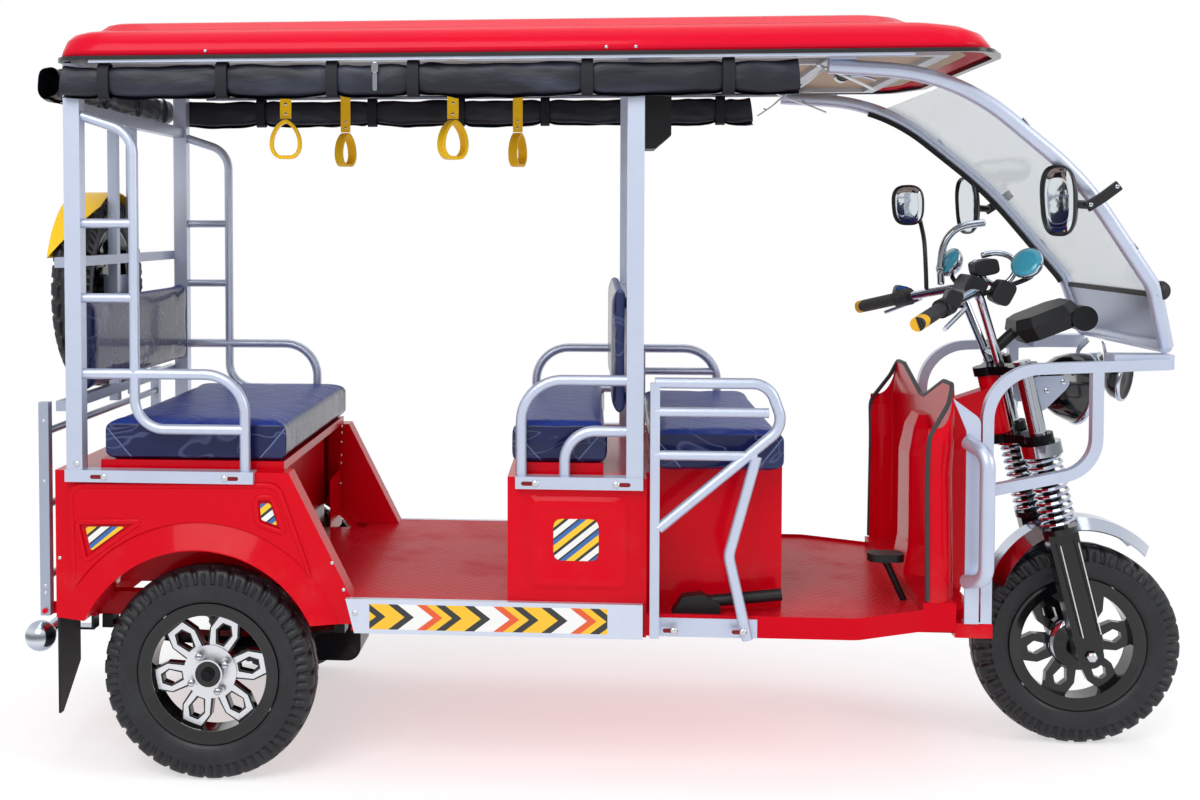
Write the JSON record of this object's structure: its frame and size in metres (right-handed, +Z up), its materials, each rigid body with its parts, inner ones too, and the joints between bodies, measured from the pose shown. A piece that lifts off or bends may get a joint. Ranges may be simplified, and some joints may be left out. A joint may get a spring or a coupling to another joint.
{
  "type": "auto rickshaw",
  "caption": "Open-sided three-wheeled battery rickshaw with facing passenger seats, hard roof, fork steering and folding rear rack.",
  "frame": {"origin": "on the ground under the middle of the vehicle's outer box", "axes": "+X forward along the vehicle, +Y to its left, +Z up"},
  "size_m": [2.8185, 1.052, 1.8119],
  "materials": {
    "red_paint": "gloss",
    "roof_red": "gloss",
    "silver_paint": "satin",
    "grey_paint": "satin",
    "black_paint": "satin",
    "navy_vinyl": "satin",
    "curtain_cloth": "satin",
    "chrome": "polished",
    "cast_wheel": "gloss",
    "tyre": "matt",
    "rubber": "matt",
    "black_plastic": "matt",
    "gloss_black": "gloss",
    "screen_glass": "clear",
    "yellow_plastic": "gloss",
    "lamp_red": "gloss",
    "axle_steel": "matt"
  },
  "bodies": {
    "body": {"chassis_frame": "red_paint", "passenger_floor": "red_paint", "driver_floor": "red_paint", "sill_strips": "silver_paint", "rear_side_panels": "red_paint", "rear_seat_box": "red_paint", "rear_cushion": "navy_vinyl", "rear_backrest": "navy_vinyl", "spare_carrier": "grey_paint", "spare_tyre": "tyre", "spare_rim": "cast_wheel", "spare_cover": "yellow_plastic", "rear_side_frames": "silver_paint", "middle_side_frames": "silver_paint", "driver_guard": "silver_paint", "driver_armrest": "silver_paint", "seat_box": "red_paint", "middle_cushion": "navy_vinyl", "driver_cushion": "navy_vinyl", "middle_backrest": "navy_vinyl", "roof_shell": "roof_red", "roof_trim": "rubber", "roof_frame": "silver_paint", "curtain_rolls": "curtain_cloth", "ceiling_box": "black_plastic", "hand_loops": "yellow_plastic", "windshield_frame": "silver_paint", "windshield_glass": "screen_glass", "front_panel": "red_paint", "frame_mirrors": "gloss_black", "front_cowl": "red_paint", "front_guards": "silver_paint", "horns": "gloss_black", "rear_bumper": "chrome", "mudflaps": "rubber", "tail_lamps": "lamp_red", "rear_axle": "axle_steel", "driver_controls": "black_paint"},
    "steering": {"fork_yokes": "black_paint", "fork_legs": "black_paint", "fork_springs": "chrome", "front_fender": "chrome", "handlebar": "chrome", "grips": "rubber", "meter_box": "black_plastic", "headlamp": "chrome", "bar_mirror": "gloss_black"},
    "front_wheel": {"front_tyre": "tyre", "front_rim": "cast_wheel"},
    "rear_wheel_right": {"rear_tyre_right": "tyre", "rear_rim_right": "cast_wheel"},
    "rear_wheel_left": {"rear_tyre_left": "tyre", "rear_rim_left": "cast_wheel"},
    "luggage_rack": {"rear_carrier": "silver_paint"}
  },
  "joints": [
    {"name": "steering_turn", "type": "hinge", "parent": "body", "child": "steering", "pos_m": [0.97388, 0, 0.7694], "axis": [-0.2284, 0, 0.9736], "range_deg": [-40, 40]},
    {"name": "front_wheel_spin", "type": "hinge", "parent": "steering", "child": "front_wheel", "pos_m": [1.15675, 0, 0.2525], "axis": [0, 1, 0], "continuous": true},
    {"name": "rear_wheel_right_spin", "type": "hinge", "parent": "body", "child": "rear_wheel_right", "pos_m": [-0.94925, -0.42, 0.2525], "axis": [0, 1, 0], "continuous": true},
    {"name": "rear_wheel_left_spin", "type": "hinge", "parent": "body", "child": "rear_wheel_left", "pos_m": [-0.94925, 0.42, 0.2525], "axis": [0, 1, 0], "continuous": true},
    {"name": "luggage_rack_fold", "type": "hinge", "parent": "body", "child": "luggage_rack", "pos_m": [-1.34025, 0, 0.393], "axis": [0, -1, 0], "range_deg": [0, 90]}
  ]
}
